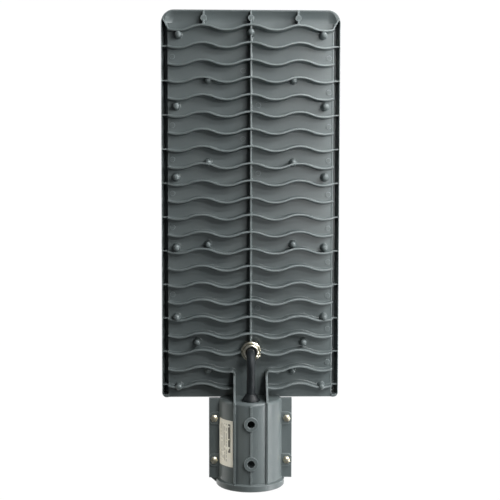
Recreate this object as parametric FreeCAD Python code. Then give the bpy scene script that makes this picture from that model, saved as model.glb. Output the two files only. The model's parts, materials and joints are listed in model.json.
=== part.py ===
import FreeCAD, Part
import math
import os

# LED street light head, in millimetres.
# The origin is on the axis of the pole socket, at its mouth. +Y runs from the mouth
# to the far end of the panel, +Z points to the finned back and -Z to the light side.

V = FreeCAD.Vector
TURN = 360.0
QUARTER_TURN = 90.0
HEX_SIDES = 6
DIAGONAL = math.sqrt(0.5)

# Pole socket
spigot_d = 60.0
spigot_clearance = 0.5
socket_wall = 3.7
socket_depth = 80.0
stop_step = 3.5
stop_width = 3.0
chamber_length = 8.0
end_wall = 4.0
end_round = 3.5
parting_gap = 2.0
collar_rise = 2.8
collar_width = 6.5
collar_round = 1.0
flange_width = 10.6
flange_thickness = 4.0
flange_root = 1.2
pad_r = 6.8
pad_rise = 2.0
clamp_end_wall = 4.0
clamp_clearance = 0.6

# Socket ribs and set-screw bosses
web_x = 17.4
web_thickness = 2.0
web_rise = 2.1
web_foot_rise = 13.0
web_slope_length = 26.5
low_rib_width = 2.2
low_rib_rise = 1.0
screw_boss_r = 7.5
screw_boss_rise = 2.8
set_screw_d = 8.0
set_screw_first = 30.3
set_screw_pitch = 42.5

# Clamp bolts
bolt_d = 4.0
bolt_hole_d = 4.5
bolt_head_flats = 7.0
bolt_head_height = 2.8
bolt_first = 27.4
bolt_pitch = 45.9
bolt_out = 5.0
nut_height = 3.2
washer_d = 9.0
washer_thickness = 0.8
spring_washer_d = 7.6
spring_washer_thickness = 1.0
bolt_overrun = 2.0

# Panel
panel_width = 192.0
panel_length = 417.2
panel_lap = 1.4
far_corner_r = 14.0
near_corner_r = 5.0
axis_above_plate = 8.0
plate_thickness = 3.0
panel_thickness = 30.0
skirt_wall = 2.4
side_rim_rise = 2.0
end_rim_rise = 6.4
rim_ramp = 26.0
rim_lip = 1.2
cove_radius = 15.0

# Side troughs
plateau_side = 7.0
trough_depth = 13.0
trough_floor = 2.5
side_lip = 0.7
trough_draft = 2.4
trough_end_wall = 3.0
stub_thickness = 1.3
stub_drop = 2.4
stub_fin_count = 2
diagonal_inset = 13.6
diagonal_length = 13.0
diagonal_angle = 59.0
diagonal_rise = 4.5

# Wavy fins
fin_pitch = 18.27
first_fin_from_end = 16.6
last_fin_room = 12.0
fin_thickness = 1.7
fin_height = 16.0
fin_edge_height = 7.0
wave_length = 52.3
wave_height = 5.3
spine_thickness = 1.7
spine_height = 13.4
short_rib_x = 50.4
short_rib_pad_r = 3.3
short_rib_pad_from_end = 9.2
short_rib_pad_rise = 0.6
short_rib_drop = 0.6
gland_fin_gap = 1.2
corner_bend_r = 3.2

# Screw bosses on the back
edge_boss_inset = 16.2
edge_end_boss_inset = 18.5
edge_boss_first = 12.6
edge_boss_last = 26.1
edge_boss_rows = 6
edge_boss_r = 3.1
edge_boss_height = 10.0
end_boss_height = 14.4
end_boss_from_end = 23.8
board_boss_first = 167.4
board_boss_last = 73.8
board_boss_rows = 3
board_boss_r = 2.9
board_boss_height = 10.5
driver_boss_far_inset = 8.4
driver_boss_near_inset = 20.0
driver_boss_far = 61.1
driver_boss_near = 29.5
driver_boss_height = 10.0
driver_boss_low_height = 6.0

# Inside of the panel
seal_wall = 4.0
seal_wall_inset = 21.0
seal_wall_near = 12.4
seal_wall_far = 34.8
seal_corner_r = 8.0
column_r = 4.5
column_web = 3.0
wall_inside = 2.6
frame_clearance = 0.6
frame_thickness = 6.0
gasket_thickness = 1.2
glass_shelf = 4.0
glass_shelf_thickness = 2.0
glass_edge_gap = 0.3
glass_inset = 1.7
glass_thickness = 3.0
glass_seal_thickness = 0.6
frame_step = 1.0

# Cover screws
cover_screw_d = 4.0
cover_hole_d = 4.6
cover_head_d = 7.6
cover_head_height = 2.4
cover_recess_d = 8.4
cover_recess_depth = 2.8
cover_screw_length = 14.0
hex_socket_flats = 2.5
hex_socket_depth = 1.4

# Light unit
pad_thickness = 0.5
board_thickness = 1.6
board_gap = 5.0
board_margin = 11.0
board_near_margin = 21.5
led_columns = 6
led_side_margin = 8.875
led_per_row_gap = 4
led_size = 3.4
led_height = 0.7
lens_gap = 0.2
lens_plate_thickness = 2.0
lens_r = 7.6
lens_rise = 4.6
board_screw_d = 3.0
board_screw_head_d = 5.6
board_screw_head_height = 2.2
board_screw_depth = 6.0
small_hole_gap = 0.3

# Cable gland
gland_from_near = 51.6
gland_thread_d = 16.0
gland_bore_d = 10.0
gland_flats = 20.5
gland_body_height = 5.5
gland_collar_height = 8.0
gland_collar_d = 16.6
gland_cap_height = 13.5
gland_cap_round = 5.0
gland_cap_mouth_d = 13.0
gland_insert_height = 3.6
gland_thread_length = 9.5
gland_hole_gap = 0.3
o_ring_d = 20.0
o_ring_thickness = 1.4
locknut_flats = 19.0
locknut_height = 3.5

# Supply cable
cable_d = 9.0
cable_bend_r = 12.0
cable_sweep_r = 54.0
cable_end_height = 21.0
cable_lead = 3.0
sheath_tail = 2.5
chamber_tail = 4.5
core_d = 2.4
core_spread = 2.7
core_bend_r = 4.0
core_stub = 3.0
grommet_base_r = 9.6
grommet_tip_r = 5.4
grommet_length = 7.6
grommet_rim = 1.4
grommet_neck_r = 7.0
grommet_back = 1.5

# Label
label_length = 50.0
label_first = 24.8
label_thickness = 0.2
label_low_angle = 14.0
label_high_angle = 56.0

# Driver
tray_thickness = 1.2
tray_gap = 5.0
tray_near = 20.0
tray_far = 134.0
tray_gland_gap = 3.0
driver_side_gap = 14.0
driver_near = 84.4
driver_length = 48.0
driver_height = 15.0
driver_cover_thickness = 1.5
driver_lip = 1.2
terminal_half_width = 16.0
terminal_near = 67.0
terminal_length = 11.0
terminal_height = 12.0
wire_d = 2.0
wire_height = 8.0
wire_spread = 5.0
lead_spread = 20.0
lead_landing = 4.5
lead_bend_r = 3.0
gear_cover_thickness = 0.8
gear_cover_gap = 1.2
gear_cover_near = 21.0
gear_cover_length = 112.0
driver_screw_length = 8.0
earth_from_boss = 16.0
earth_from_near = 27.0
earth_screw_d = 4.0
earth_head_d = 7.4
earth_head_height = 2.6
earth_lug_r = 5.0
earth_lug_thickness = 0.8
earth_lug_length = 12.0
earth_hole_share = 0.8

# Shared by several pieces
cut_margin = 1.0
least_corner_r = 1.0

# Places worked out from the sizes
bore_r = spigot_d / 2 + spigot_clearance
barrel_r = bore_r + socket_wall
collar_r = barrel_r + collar_rise
chamber_end = socket_depth + stop_width + chamber_length
socket_end = chamber_end + end_wall
half_gap = parting_gap / 2
flange_x = barrel_r + flange_width
flange_near = collar_width + flange_root
bolt_x = barrel_r + bolt_out
bolt_ys = [bolt_first, bolt_first + bolt_pitch]
set_screw_ys = [set_screw_first, set_screw_first + set_screw_pitch]
panel_near = socket_end - panel_lap
panel_far = panel_near + panel_length
half_width = panel_width / 2
plate_top = -axis_above_plate
plate_under = plate_top - plate_thickness
front_z = plate_top - panel_thickness
skirt_z = front_z + frame_step
plateau_x = half_width - plateau_side
trough_z = plate_top - trough_depth
rim_inner_x = half_width - side_lip
first_fin = panel_far - first_fin_from_end
fin_count = int((first_fin - panel_near - last_fin_room) / fin_pitch) + 1
fin_ys = [first_fin - i * fin_pitch for i in range(fin_count)]
gland_y = panel_near + gland_from_near
frame_back = front_z + frame_thickness
seal_face = frame_back + gasket_thickness
seal_x = half_width - seal_wall_inset
seal_near = panel_near + seal_wall_near
seal_far = panel_far - seal_wall_far
board_under = plate_under - pad_thickness - board_thickness
lens_back = board_under - led_height - lens_gap
tray_under = plate_under - tray_thickness
board_hole_r = board_screw_d / 2 + small_hole_gap
earth_hole_top = plate_under + plate_thickness * earth_hole_share
web_top = math.sqrt(barrel_r ** 2 - web_x ** 2) + web_rise
edge_boss_x = half_width - edge_boss_inset
edge_end_boss_x = half_width - edge_end_boss_inset
edge_boss_pitch = (panel_length - edge_boss_first - edge_boss_last) / (edge_boss_rows - 1)
board_half_width = seal_x - seal_wall - board_gap
board_boss_pitch = (panel_length - board_boss_first - board_boss_last) / (board_boss_rows - 1)
led_column_pitch = 2 * (board_half_width - led_side_margin) / (led_columns - 1)
board_boss_x = (led_columns / 2 - 1) * led_column_pitch
tray_half_width = seal_x - seal_wall - tray_gap
driver_boss_far_x = tray_half_width - driver_boss_far_inset
driver_boss_near_x = tray_half_width - driver_boss_near_inset
earth_x = driver_boss_near_x - earth_from_boss
driver_half_width = tray_half_width - driver_side_gap
board_ys = [panel_near + board_boss_first + i * board_boss_pitch for i in range(board_boss_rows)]
edge_ys = [panel_near + edge_boss_first + i * edge_boss_pitch for i in range(edge_boss_rows)]
end_boss_y = panel_far - end_boss_from_end
half_wave = wave_length / 2
wave_amp = wave_height / 2
wave_r = ((half_wave / 2) ** 2 + wave_amp ** 2) / (2 * wave_amp)
side_half_waves = math.ceil(plateau_x / half_wave - 1 / 2)
far = 2 * (panel_length + socket_end)


# Small helpers

def box(x0, x1, y0, y1, z0, z1):
    return Part.makeBox(x1 - x0, y1 - y0, z1 - z0, V(x0, y0, z0))


def post(x, y, z0, z1, r):
    return Part.makeCylinder(r, z1 - z0, V(x, y, z0))


def along_y(r, y0, y1, x=0.0, z=0.0):
    return Part.makeCylinder(r, y1 - y0, V(x, y0, z), V(0, 1, 0))


def corner_reach(flats):
    """Distance from a hexagon's middle to its corners."""
    return flats / 2 / math.cos(math.radians(TURN / HEX_SIDES / 2))


def hexagon(x, y, z0, z1, flats):
    reach = corner_reach(flats)
    turns = [math.radians(i * TURN / HEX_SIDES) for i in range(HEX_SIDES)]
    ring = [V(x + reach * math.cos(turn), y + reach * math.sin(turn), z0) for turn in turns]
    return Part.Face(Part.makePolygon(ring + ring[:1])).extrude(V(0, 0, z1 - z0))


def prism_yz(points, x0, x1):
    ring = [V(x0, y, z) for y, z in points]
    return Part.Face(Part.makePolygon(ring + ring[:1])).extrude(V(x1 - x0, 0, 0))


def prism_xy(points, z0, z1):
    ring = [V(x, y, z0) for x, y in points]
    return Part.Face(Part.makePolygon(ring + ring[:1])).extrude(V(0, 0, z1 - z0))


def mirror_x(shape):
    return shape.mirror(V(0, 0, 0), V(1, 0, 0))


def both_sides(shape):
    return [shape, mirror_x(shape)]


def fuse_all(shapes):
    return shapes[0].multiFuse(shapes[1:]).removeSplitter()


def cut_all(shape, tools):
    return shape.cut(Part.makeCompound(tools))


def rounded_rect(x, y0, y1, near_r, far_r, z0, z1):
    """Rectangle 2x wide with rounded corners, as a solid from z0 to z1."""
    near_c = near_r * (1 - DIAGONAL)
    far_c = far_r * (1 - DIAGONAL)
    def at(px, py):
        return V(px, py, z0)
    edges = [
        Part.makeLine(at(-x + near_r, y0), at(x - near_r, y0)),
        Part.Arc(at(x - near_r, y0), at(x - near_c, y0 + near_c), at(x, y0 + near_r)).toShape(),
        Part.makeLine(at(x, y0 + near_r), at(x, y1 - far_r)),
        Part.Arc(at(x, y1 - far_r), at(x - far_c, y1 - far_c), at(x - far_r, y1)).toShape(),
        Part.makeLine(at(x - far_r, y1), at(-x + far_r, y1)),
        Part.Arc(at(-x + far_r, y1), at(-x + far_c, y1 - far_c), at(-x, y1 - far_r)).toShape(),
        Part.makeLine(at(-x, y1 - far_r), at(-x, y0 + near_r)),
        Part.Arc(at(-x, y0 + near_r), at(-x + near_c, y0 + near_c), at(-x + near_r, y0)).toShape(),
    ]
    return Part.Face(Part.Wire(edges)).extrude(V(0, 0, z1 - z0))


def turned_y(profile):
    """Solid turned about the socket axis. The profile holds (radius, y) points."""
    ring = [V(r, y, 0) for r, y in profile]
    face = Part.Face(Part.makePolygon(ring + ring[:1]))
    return face.revolve(V(0, 0, 0), V(0, 1, 0), TURN)


def tube(points, radii, r):
    """Round rod along straight runs joined by tangent arcs, one radius per inner point."""
    edges = []
    start = points[0]
    for i, bend in enumerate(radii):
        corner = points[i + 1]
        back = (start - corner).normalize()
        ahead = (points[i + 2] - corner).normalize()
        half = back.getAngle(ahead) / 2
        reach = bend / math.tan(half)
        first = corner + back * reach
        last = corner + ahead * reach
        middle_way = (back + ahead).normalize()
        middle = corner + middle_way * (bend / math.sin(half) - bend)
        edges.append(Part.makeLine(start, first))
        edges.append(Part.Arc(first, middle, last).toShape())
        start = last
    edges.append(Part.makeLine(start, points[-1]))
    path = Part.Wire(edges)
    ring = Part.Wire(Part.makeCircle(r, points[0], points[1] - points[0]))
    return path.makePipeShell([ring], True, False)


def save(name, shape):
    if isinstance(shape, list):
        shape = Part.makeCompound(shape)
    shape.exportStep("parts/" + name + ".step")


# Wavy fins

def wave_points(offset):
    """Arc triples of one wavy edge, moved sideways from the middle line by offset."""
    triples = []
    lean = math.asin(half_wave / 2 / wave_r)
    first = -side_half_waves
    for k in range(first, side_half_waves + 1):
        sign = 1 if k % 2 == 0 else -1
        middle_x = k * half_wave
        centre_y = sign * (wave_amp - wave_r)
        reach = wave_r + sign * offset
        ends = [V(middle_x + side * reach * math.sin(lean), centre_y + sign * reach * math.cos(lean), 0)
                for side in (-1, 1)]
        triples.append((ends[0], V(middle_x, centre_y + sign * reach, 0), ends[1]))
    return triples


def fin(y, z0, z1):
    upper = [Part.Arc(*t).toShape() for t in wave_points(fin_thickness / 2)]
    lower = [Part.Arc(*t).toShape() for t in wave_points(-fin_thickness / 2)]
    left = Part.makeLine(lower[0].Vertexes[0].Point, upper[0].Vertexes[0].Point)
    right = Part.makeLine(lower[-1].Vertexes[-1].Point, upper[-1].Vertexes[-1].Point)
    edge_loop = Part.Wire(Part.__sortEdges__(upper + lower + [left, right]))
    blade = Part.Face(edge_loop).extrude(V(0, 0, z1 - z0))
    blade.translate(V(0, y - wave_amp, z0))
    return blade


def wave_y(x):
    """Height of a fin's middle line at x, from its crest."""
    k = round(x / half_wave)
    sign = 1 if k % 2 == 0 else -1
    rise = math.sqrt(wave_r ** 2 - (x - k * half_wave) ** 2)
    return sign * (wave_amp - wave_r + rise) - wave_amp


def crown(x):
    """Height of the fins' top edge above the plate at x."""
    return math.sqrt(crown_r ** 2 - x ** 2) - crown_r + fin_height


crown_drop = fin_height - fin_edge_height
crown_r = (plateau_x ** 2 + crown_drop ** 2) / (2 * crown_drop)
fin_root = plate_top - plate_thickness / 2


def crown_block():
    """Room that the fins fill: the plateau's width, under the crowned top."""
    top = plate_top + fin_height
    side = plate_top + fin_edge_height
    edges = [
        Part.makeLine(V(-plateau_x, 0, fin_root), V(plateau_x, 0, fin_root)),
        Part.makeLine(V(plateau_x, 0, fin_root), V(plateau_x, 0, side)),
        Part.Arc(V(plateau_x, 0, side), V(0, 0, top), V(-plateau_x, 0, side)).toShape(),
        Part.makeLine(V(-plateau_x, 0, side), V(-plateau_x, 0, fin_root)),
    ]
    return Part.Face(Part.Wire(edges)).extrude(V(0, panel_far, 0))


def fins():
    top = plate_top + fin_height + fin_thickness
    blades = [fin(y, fin_root, top) for y in fin_ys]
    gland_reach = corner_reach(gland_flats)
    gland_room = gland_reach + gland_fin_gap
    last_full = fin_ys[-2]
    gland_gap = box(-gland_room, gland_room, gland_y - gland_room, gland_y + gland_room, fin_root, top)
    socket_room = box(-web_x, web_x, panel_near, last_full + wave_height, fin_root, top)
    corner_room = box(web_x - web_thickness, web_x + corner_bend_r,
                      last_full - wave_height - corner_bend_r, last_full + wave_height, fin_root, top)
    rooms = [gland_gap, socket_room] + both_sides(corner_room)
    spine = box(-spine_thickness / 2, spine_thickness / 2, gland_y + gland_reach, first_fin, fin_root,
                plate_top + spine_height)
    bends = both_sides(corner_bend(fin_root, top))
    room = crown_block()
    trimmed = [rib.common(room) for rib in [cut_all(blade, rooms) for blade in blades] + [spine] + bends]
    return [solid for rib in trimmed for solid in rib.Solids]


def corner_bend(z0, z1):
    """Rounded corner where the last full fin turns into a socket web."""
    x = web_x + corner_bend_r
    y = fin_ys[-2] + wave_y(x) - corner_bend_r
    ring = post(x, y, z0, z1, corner_bend_r + fin_thickness / 2)
    ring = ring.cut(post(x, y, z0, z1, corner_bend_r - fin_thickness / 2))
    return ring.common(box(0, x, y, panel_far, z0, z1))


# Panel

def rim_trim():
    """Room above the rim: low along the sides, ramping up to the far end."""
    low = plate_top + side_rim_rise
    high = plate_top + end_rim_rise
    start = panel_far - rim_ramp
    steep = (rim_ramp ** 2 + (high - low) ** 2) / (2 * (high - low))
    half = math.asin(rim_ramp / steep) / 2
    middle = V(-half_width, start + steep * math.sin(half), low + steep * (1 - math.cos(half)))
    edges = [
        Part.makeLine(V(-half_width, 0, low), V(-half_width, start, low)),
        Part.Arc(V(-half_width, start, low), middle, V(-half_width, panel_far, high)).toShape(),
        Part.makeLine(V(-half_width, panel_far, high), V(-half_width, panel_far, high + fin_height)),
        Part.makeLine(V(-half_width, panel_far, high + fin_height), V(-half_width, 0, high + fin_height)),
        Part.makeLine(V(-half_width, 0, high + fin_height), V(-half_width, 0, low)),
    ]
    return Part.Face(Part.Wire(edges)).extrude(V(panel_width, 0, 0))


def cove_profile():
    """Concave section of the far end, drawn in the YZ plane at x = 0, as a face."""
    rim_y = panel_far - rim_lip
    slope = math.acos(1 - end_rim_rise / cove_radius)
    run = cove_radius * math.sin(slope)
    foot_y = rim_y - run
    middle = V(0, foot_y + cove_radius * math.sin(slope / 2),
               plate_top + cove_radius * (1 - math.cos(slope / 2)))
    top = plate_top + end_rim_rise + fin_height
    foot = V(0, foot_y, plate_top)
    rim = V(0, rim_y, plate_top + end_rim_rise)
    edges = [
        Part.Arc(foot, middle, rim).toShape(),
        Part.makeLine(rim, V(0, rim_y, top)),
        Part.makeLine(V(0, rim_y, top), V(0, foot_y, top)),
        Part.makeLine(V(0, foot_y, top), foot),
    ]
    return Part.Face(Part.Wire(edges)), foot_y


def cove_rooms():
    profile, foot_y = cove_profile()
    corner_x = half_width - far_corner_r
    corner_y = panel_far - far_corner_r
    straight = profile.copy()
    straight.translate(V(-corner_x, 0, 0))
    straight = straight.extrude(V(2 * corner_x, 0, 0))
    turn = profile.copy()
    turn.translate(V(corner_x, 0, 0))
    turn = turn.revolve(V(corner_x, corner_y, 0), V(0, 0, 1), -QUARTER_TURN)
    top = plate_top + end_rim_rise + fin_height
    plain = box(-plateau_x, plateau_x, 0, foot_y, plate_top, top)
    return [straight, plain] + both_sides(turn)


def trough_room():
    """Right trough, drafted, with its far end cut along the diagonal rib."""
    rim_z = plate_top + side_rim_rise
    top_z = plate_top + end_rim_rise
    near = panel_near + trough_end_wall
    dx = diagonal_length * math.cos(math.radians(diagonal_angle))
    dy = diagonal_length * math.sin(math.radians(diagonal_angle))
    foot_y = panel_far - diagonal_inset - dy / 2
    def ring(inner, outer, z):
        reach = (outer - inner) / dx * dy
        corners = [V(inner, near, z), V(outer, near, z), V(outer, foot_y + reach, z), V(inner, foot_y, z)]
        return Part.makePolygon(corners + corners[:1])
    upper = ring(plateau_x, rim_inner_x, rim_z)
    lower = ring(plateau_x, rim_inner_x - trough_draft, trough_z)
    above = Part.Face(upper).extrude(V(0, 0, top_z - rim_z))
    drafted = Part.makeLoft([upper, lower], True, True)
    return fuse_all([drafted, above]).common(outline(side_lip, trough_z, top_z))


def diagonal_rib():
    slope = V(math.cos(math.radians(diagonal_angle)), math.sin(math.radians(diagonal_angle)), 0)
    side = V(-slope.y, slope.x, 0) * stub_thickness
    half_dy = diagonal_length * slope.y / 2
    foot = V(plateau_x, panel_far - diagonal_inset - half_dy, 0) - slope * stub_thickness
    tip = foot + slope * (diagonal_length + 2 * stub_thickness)
    points = [(p.x, p.y) for p in (foot, tip, tip + side, foot + side)]
    return prism_xy(points, trough_z - trough_floor / 2, plate_top + diagonal_rise)


def outline(inset, z0, z1):
    return rounded_rect(half_width - inset, panel_near + inset, panel_far - inset,
                        max(near_corner_r - inset, least_corner_r),
                        max(far_corner_r - inset, least_corner_r), z0, z1)


def stubs():
    out = []
    for y in fin_ys[1::stub_fin_count]:
        stub = box(plateau_x - stub_thickness / 2, half_width - side_lip, y - stub_drop - stub_thickness,
                   y - stub_drop, trough_z - trough_floor / 2, plate_top + side_rim_rise / 2)
        out += both_sides(stub)
    return out


def seal_ring(z0, z1):
    outer = rounded_rect(seal_x, seal_near, seal_far, seal_corner_r, seal_corner_r, z0, z1)
    inner_r = seal_corner_r - seal_wall
    inner = rounded_rect(seal_x - seal_wall, seal_near + seal_wall, seal_far - seal_wall,
                         inner_r, inner_r, z0, z1)
    return outer.cut(inner)


def cover_screw_places():
    places = [(0.0, end_boss_y)]
    for i, y in enumerate(edge_ys):
        at_end = i in (0, edge_boss_rows - 1)
        x = edge_end_boss_x if at_end else edge_boss_x
        places += [(x, y), (-x, y)]
    return places


def board_screw_places():
    return [(side * board_boss_x, y) for y in board_ys for side in (-1, 1)]


def driver_bosses():
    """Place and height of each boss that a driver screw goes into."""
    rows = [(driver_boss_far_x, driver_boss_far, driver_boss_height),
            (driver_boss_near_x, driver_boss_near, driver_boss_low_height)]
    return [(side * x, panel_near + y, height) for x, y, height in rows for side in (-1, 1)]


def driver_screw_places():
    return [(x, y) for x, y, height in driver_bosses()]


def dome_boss(x, y, height, r):
    top = plate_top + height
    ball = Part.makeSphere(r, V(x, y, top - r))
    return fuse_all([post(x, y, fin_root, top - r, r), ball])


def back_bosses():
    out = [dome_boss(x, y, end_boss_height if x == 0 else edge_boss_height, edge_boss_r)
           for x, y in cover_screw_places()]
    out += [dome_boss(x, y, board_boss_height, board_boss_r) for x, y in board_screw_places()]
    out += [dome_boss(x, y, height, board_boss_r) for x, y, height in driver_bosses()]
    return out


def short_ribs():
    rim_y = panel_far - rim_lip / 2
    rim_z = plate_top + end_rim_rise
    out = []
    for x in (-short_rib_x, 0.0, short_rib_x):
        fin_z = plate_top + crown(x) - short_rib_drop
        fin_y = first_fin
        points = [(rim_y, fin_root), (rim_y, rim_z), (fin_y, fin_z), (fin_y, fin_root)]
        out.append(prism_yz(points, x - fin_thickness / 2, x + fin_thickness / 2))
        pad_y = panel_far - short_rib_pad_from_end
        share = (rim_y - pad_y) / (rim_y - fin_y)
        pad_z = rim_z + share * (fin_z - rim_z) + short_rib_pad_rise
        out.append(post(x, pad_y, fin_root, pad_z, short_rib_pad_r))
    return out


def panel():
    body = outline(0.0, skirt_z, plate_top + end_rim_rise)
    body = cut_all(body, [rim_trim()] + cove_rooms() + both_sides(trough_room()))
    wall_x = plateau_x - wall_inside
    upper = rounded_rect(wall_x, panel_near + trough_end_wall, panel_far - wall_inside - rim_lip,
                         near_corner_r, far_corner_r - wall_inside, skirt_z, plate_under)
    lower = outline(skirt_wall, skirt_z, trough_z - trough_floor)
    body = cut_all(body, [fuse_all([upper, lower])])
    solid_area = outline(rim_lip / 2, skirt_z, plate_top + fin_height)
    columns = [post(x, y, frame_back, fin_root, column_r) for x, y in cover_screw_places()]
    for y in edge_ys[1:-1]:
        web = box(seal_x - seal_wall / 2, edge_boss_x, y - column_web / 2, y + column_web / 2,
                  seal_face, fin_root)
        columns += both_sides(web)
    diagonals = [d.common(solid_area) for d in both_sides(diagonal_rib())]
    return [body, seal_ring(seal_face, fin_root)] + columns + diagonals + stubs()


# Pole socket

def socket_shell(y_end, wall_near):
    """Full round socket with collar, pole stop, rounded end and end wall."""
    start = V(barrel_r - end_round, y_end, 0)
    middle = V(barrel_r - end_round * (1 - DIAGONAL), y_end - end_round * (1 - DIAGONAL), 0)
    last = V(barrel_r, y_end - end_round, 0)
    inside = [(0, y_end), (0, wall_near), (bore_r, wall_near), (bore_r, socket_depth + stop_width),
              (bore_r - stop_step, socket_depth + stop_width), (bore_r - stop_step, socket_depth),
              (bore_r, socket_depth), (bore_r, 0)]
    outside = [(bore_r, 0), (collar_r - collar_round, 0), (collar_r, collar_round), (collar_r, collar_width),
               (barrel_r, collar_width + flange_root), (barrel_r, y_end - end_round)]
    def line(a, b):
        return Part.makeLine(V(a[0], a[1], 0), V(b[0], b[1], 0))
    edges = [line(a, b) for a, b in zip(inside, inside[1:])]
    edges += [line(a, b) for a, b in zip(outside, outside[1:])]
    edges.append(Part.Arc(last, middle, start).toShape())
    edges.append(Part.makeLine(start, V(0, y_end, 0)))
    face = Part.Face(Part.Wire(Part.__sortEdges__(edges)))
    return face.revolve(V(0, 0, 0), V(0, 1, 0), TURN)


def socket_top():
    whole = socket_shell(socket_end, chamber_end)
    shell = whole.common(box(-far, far, -far, far, half_gap, far))
    wall = whole.common(box(-far, far, chamber_end, far, plate_under, half_gap))
    flanges = [box(bore_r + half_gap, flange_x, flange_near, panel_near + panel_lap,
                   half_gap, half_gap + flange_thickness)]
    for y in bolt_ys:
        pad = post(bolt_x, y, half_gap, half_gap + flange_thickness + pad_rise, pad_r)
        pad = fuse_all([pad, box(bore_r + half_gap, bolt_x, y - pad_r, y + pad_r, half_gap,
                                 half_gap + flange_thickness + pad_rise)])
        flanges.append(pad.common(box(0, flange_x, 0, far, 0, far)))
    flanges = flanges + [mirror_x(f) for f in flanges]
    wing_z = web_top - web_rise - socket_wall / 2
    foot_y = socket_end + web_slope_length
    foot_z = plate_top + web_foot_rise
    web = prism_yz([(collar_width, wing_z), (collar_width, web_top), (socket_end, web_top),
                    (foot_y, foot_z), (foot_y, fin_root), (chamber_end, fin_root),
                    (chamber_end, wing_z)], web_x - web_thickness / 2, web_x + web_thickness / 2)
    low_rib = box(-low_rib_width / 2, low_rib_width / 2, collar_width, socket_end - end_round,
                  bore_r + socket_wall / 2, barrel_r + low_rib_rise)
    bosses = [post(0, y, bore_r + socket_wall / 2, barrel_r + screw_boss_rise, screw_boss_r)
              for y in set_screw_ys]
    return [shell, wall, low_rib] + flanges + both_sides(web) + bosses


def housing():
    body = fuse_all(panel() + fins() + short_ribs() + back_bosses() + socket_top())
    holes = [post(0, y, 0, far, set_screw_d / 2) for y in set_screw_ys]
    holes += [post(side * bolt_x, y, 0, far, bolt_hole_d / 2) for y in bolt_ys for side in (-1, 1)]
    holes.append(post(0, gland_y, front_z, plate_top + cut_margin, gland_thread_d / 2 + gland_hole_gap))
    holes += [post(x, y, front_z, frame_back + cover_screw_length, cover_screw_d / 2)
              for x, y in cover_screw_places()]
    holes += [post(x, y, front_z, plate_under + board_screw_depth, board_screw_d / 2)
              for x, y in board_screw_places()]
    holes += [post(x, y, front_z, tray_under + driver_screw_length, board_screw_d / 2)
              for x, y in driver_screw_places()]
    entry = along_y(grommet_neck_r, chamber_end - cut_margin, socket_end + cut_margin, 0, cable_end_height)
    return cut_all(body, holes + [entry, earth_hole()])


def socket_clamp():
    y_end = chamber_end - clamp_clearance
    below = box(-far, far, -far, far, -far, -half_gap)
    shell = socket_shell(y_end, y_end - clamp_end_wall).common(below)
    flange = box(bore_r + half_gap, flange_x, flange_near, y_end, -half_gap - flange_thickness, -half_gap)
    corner = prism_xy([(-flange_x, flange_near), (-collar_r + flange_root, 0), (-bore_r - half_gap, 0),
                       (-bore_r - half_gap, flange_near)], -half_gap - flange_thickness, -half_gap)
    body = fuse_all([shell] + both_sides(flange) + [corner])
    room = along_y(bore_r, -cut_margin, socket_depth)
    holes = [post(side * bolt_x, y, -far, 0, bolt_hole_d / 2) for y in bolt_ys for side in (-1, 1)]
    return cut_all(body, holes + [room])


# Clamp fasteners

def bolt_places():
    return [(side * bolt_x, y) for y in bolt_ys for side in (-1, 1)]


def clamp_bolts():
    seat = half_gap + flange_thickness + pad_rise
    tip = lower_flange_z() - washer_thickness - spring_washer_thickness - nut_height - bolt_overrun
    out = []
    for x, y in bolt_places():
        head = hexagon(x, y, seat, seat + bolt_head_height, bolt_head_flats)
        crown_cap = Part.makeSphere(bolt_head_flats, V(x, y, seat + bolt_head_height - bolt_head_flats))
        out.append(fuse_all([head.common(crown_cap), post(x, y, tip, seat, bolt_d / 2)]))
    return out


def lower_flange_z():
    return -half_gap - flange_thickness


def clamp_washers():
    z = lower_flange_z()
    return [post(x, y, z - washer_thickness, z, washer_d / 2).cut(
            post(x, y, z - washer_thickness, z, bolt_hole_d / 2)) for x, y in bolt_places()]


def clamp_spring_washers():
    z = lower_flange_z() - washer_thickness
    low = z - spring_washer_thickness
    out = []
    for x, y in bolt_places():
        ring = post(x, y, low, z, spring_washer_d / 2).cut(post(x, y, low, z, bolt_hole_d / 2))
        slit = box(x, x + spring_washer_d, y, y + spring_washer_thickness / 2, low, z)
        out.append(ring.cut(slit))
    return out


def clamp_nuts():
    z = lower_flange_z() - washer_thickness - spring_washer_thickness
    return [hexagon(x, y, z - nut_height, z, bolt_head_flats).cut(
            post(x, y, z - nut_height, z, bolt_d / 2)) for x, y in bolt_places()]


# Cable gland

o_ring_top = plate_top + o_ring_thickness
gland_shoulder = o_ring_top + gland_body_height
gland_mouth = o_ring_top + gland_body_height + gland_cap_height


def gland_o_ring():
    ring = post(0, gland_y, plate_top, o_ring_top, o_ring_d / 2)
    return ring.cut(post(0, gland_y, plate_top, o_ring_top, gland_thread_d / 2))


def gland_body():
    hexed = hexagon(0, gland_y, o_ring_top, gland_shoulder, gland_flats)
    collar = post(0, gland_y, gland_shoulder, gland_shoulder + gland_collar_height, gland_collar_d / 2)
    thread = post(0, gland_y, o_ring_top - gland_thread_length, o_ring_top, gland_thread_d / 2)
    body = fuse_all([hexed, collar, thread])
    return body.cut(post(0, gland_y, o_ring_top - gland_thread_length,
                         gland_shoulder + gland_collar_height, gland_bore_d / 2))


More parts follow.
